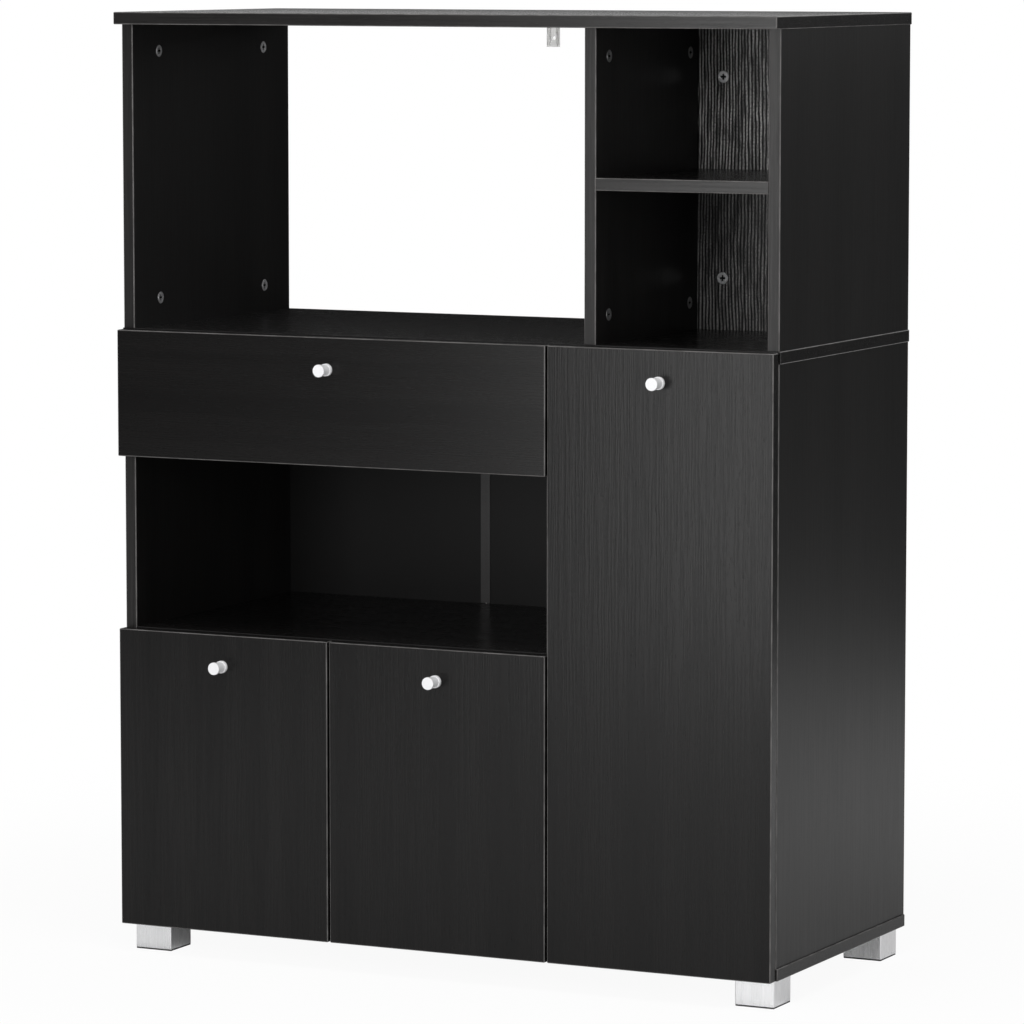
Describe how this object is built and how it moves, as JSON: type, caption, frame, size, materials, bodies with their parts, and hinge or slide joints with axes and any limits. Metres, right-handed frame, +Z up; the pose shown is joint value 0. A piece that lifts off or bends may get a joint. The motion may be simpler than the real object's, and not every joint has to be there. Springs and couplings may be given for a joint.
{
  "type": "kitchen cabinet with drawer and doors",
  "caption": "Free-standing black woodgrain kitchen cabinet with a microwave bay, cubbies, open niche, sliding drawer and hinged doors with silver knobs and feet.",
  "frame": {"origin": "On the floor, in the middle of the width and of the depth from knob tips to the back.", "axes": "+X to the viewer's right, +Y to the back (the doors face -Y), +Z up."},
  "size_m": [0.88, 0.438, 1.16],
  "materials": {
    "laminate_upright": "black-brown woodgrain laminate, semi-gloss, grain upright",
    "laminate_level": "black-brown woodgrain laminate, semi-gloss, grain across",
    "door_laminate": "black-brown woodgrain laminate, semi-gloss, grain upright",
    "drawer_front_laminate": "black-brown woodgrain laminate, semi-gloss, grain across",
    "drawer_box_laminate": "matt black laminate",
    "back_hardboard": "painted hardboard, matt black",
    "strip_plastic": "extruded plastic, dark grey",
    "knob_aluminium": "turned and satin anodised",
    "foot_aluminium": "brushed and anodised",
    "foot_pad_rubber": "matt black",
    "cam_zinc": "die-cast zinc, dull",
    "screw_steel": "zinc plated",
    "hinge_nickel": "nickel plated",
    "rail_paint": "white powder coat",
    "roller_nylon": "natural nylon",
    "dowel_beech": "fluted beech, raw",
    "bracket_plastic": "white moulded plastic"
  },
  "bodies": {
    "carcass": {"upper_left_side": "laminate_upright", "upper_right_side": "laminate_upright", "upper_divider": "laminate_upright", "cubby_back": "laminate_upright", "lower_left_side": "laminate_upright", "lower_divider": "laminate_upright", "lower_right_side": "laminate_upright", "top_panel": "laminate_level", "counter": "laminate_level", "bottom_panel": "laminate_level", "cubby_shelf": "laminate_level", "drawer_deck": "laminate_level", "niche_floor": "laminate_level", "tall_shelf": "laminate_level", "back_left": "back_hardboard", "back_right": "back_hardboard", "back_strip": "strip_plastic", "foot_front_left": "foot_aluminium", "foot_front_right": "foot_aluminium", "foot_back_left": "foot_aluminium", "foot_back_right": "foot_aluminium", "foot_pads": "foot_pad_rubber", "cam_locks": "cam_zinc", "cam_bolts": "cam_zinc", "back_nails": "screw_steel", "foot_screws": "screw_steel", "wood_screws": "screw_steel", "hinge_screws": "screw_steel", "hinge_plates": "hinge_nickel", "hinge_arms": "hinge_nickel", "shelf_pins": "hinge_nickel", "cabinet_rail_left": "rail_paint", "cabinet_rail_right": "rail_paint", "dowels": "dowel_beech", "wall_bracket": "bracket_plastic"},
    "drawer": {"drawer_front": "drawer_front_laminate", "drawer_inner_front": "drawer_box_laminate", "drawer_left_side": "drawer_box_laminate", "drawer_right_side": "drawer_box_laminate", "drawer_back": "drawer_box_laminate", "drawer_bottom": "back_hardboard", "drawer_knob": "knob_aluminium", "drawer_knob_screw": "screw_steel", "drawer_rail_left": "rail_paint", "drawer_rail_right": "rail_paint", "drawer_screws": "screw_steel"},
    "cabinet_rollers": {"cabinet_rollers": "roller_nylon"},
    "drawer_rollers": {"drawer_rollers": "roller_nylon"},
    "left_door": {"left_door": "door_laminate", "left_door_cups": "hinge_nickel", "left_knob": "knob_aluminium", "left_knob_screw": "screw_steel"},
    "right_door": {"right_door": "door_laminate", "right_door_cups": "hinge_nickel", "right_knob": "knob_aluminium", "right_knob_screw": "screw_steel"},
    "tall_door": {"tall_door": "door_laminate", "tall_door_cups": "hinge_nickel", "tall_knob": "knob_aluminium", "tall_knob_screw": "screw_steel"}
  },
  "joints": [
    {"name": "drawer_slide", "type": "slide", "parent": "carcass", "child": "drawer", "axis": [0, -1, 0], "range_m": [0, 0.26]},
    {"name": "cabinet_roller_spin", "type": "hinge", "parent": "carcass", "child": "cabinet_rollers", "pos_m": [0, -0.164, 0.6475], "axis": [1, 0, 0], "range_deg": [0, 1870]},
    {"name": "drawer_roller_spin", "type": "hinge", "parent": "drawer", "child": "drawer_rollers", "pos_m": [0, 0.154, 0.6475], "axis": [1, 0, 0], "range_deg": [0, 1870]},
    {"name": "left_door_hinge", "type": "hinge", "parent": "carcass", "child": "left_door", "pos_m": [-0.4317, -0.191, 0.2185], "axis": [0, 0, -1], "range_deg": [0, 95]},
    {"name": "right_door_hinge", "type": "hinge", "parent": "carcass", "child": "right_door", "pos_m": [0.1387, -0.191, 0.2185], "axis": [0, 0, 1], "range_deg": [0, 95]},
    {"name": "tall_door_hinge", "type": "hinge", "parent": "carcass", "child": "tall_door", "pos_m": [0.4317, -0.191, 0.403], "axis": [0, 0, 1], "range_deg": [0, 95]}
  ],
  "couplings": [
    {"joint": "cabinet_roller_spin", "follows": "drawer_slide", "rad_per_m": 125},
    {"joint": "drawer_roller_spin", "follows": "drawer_slide", "rad_per_m": 125}
  ]
}
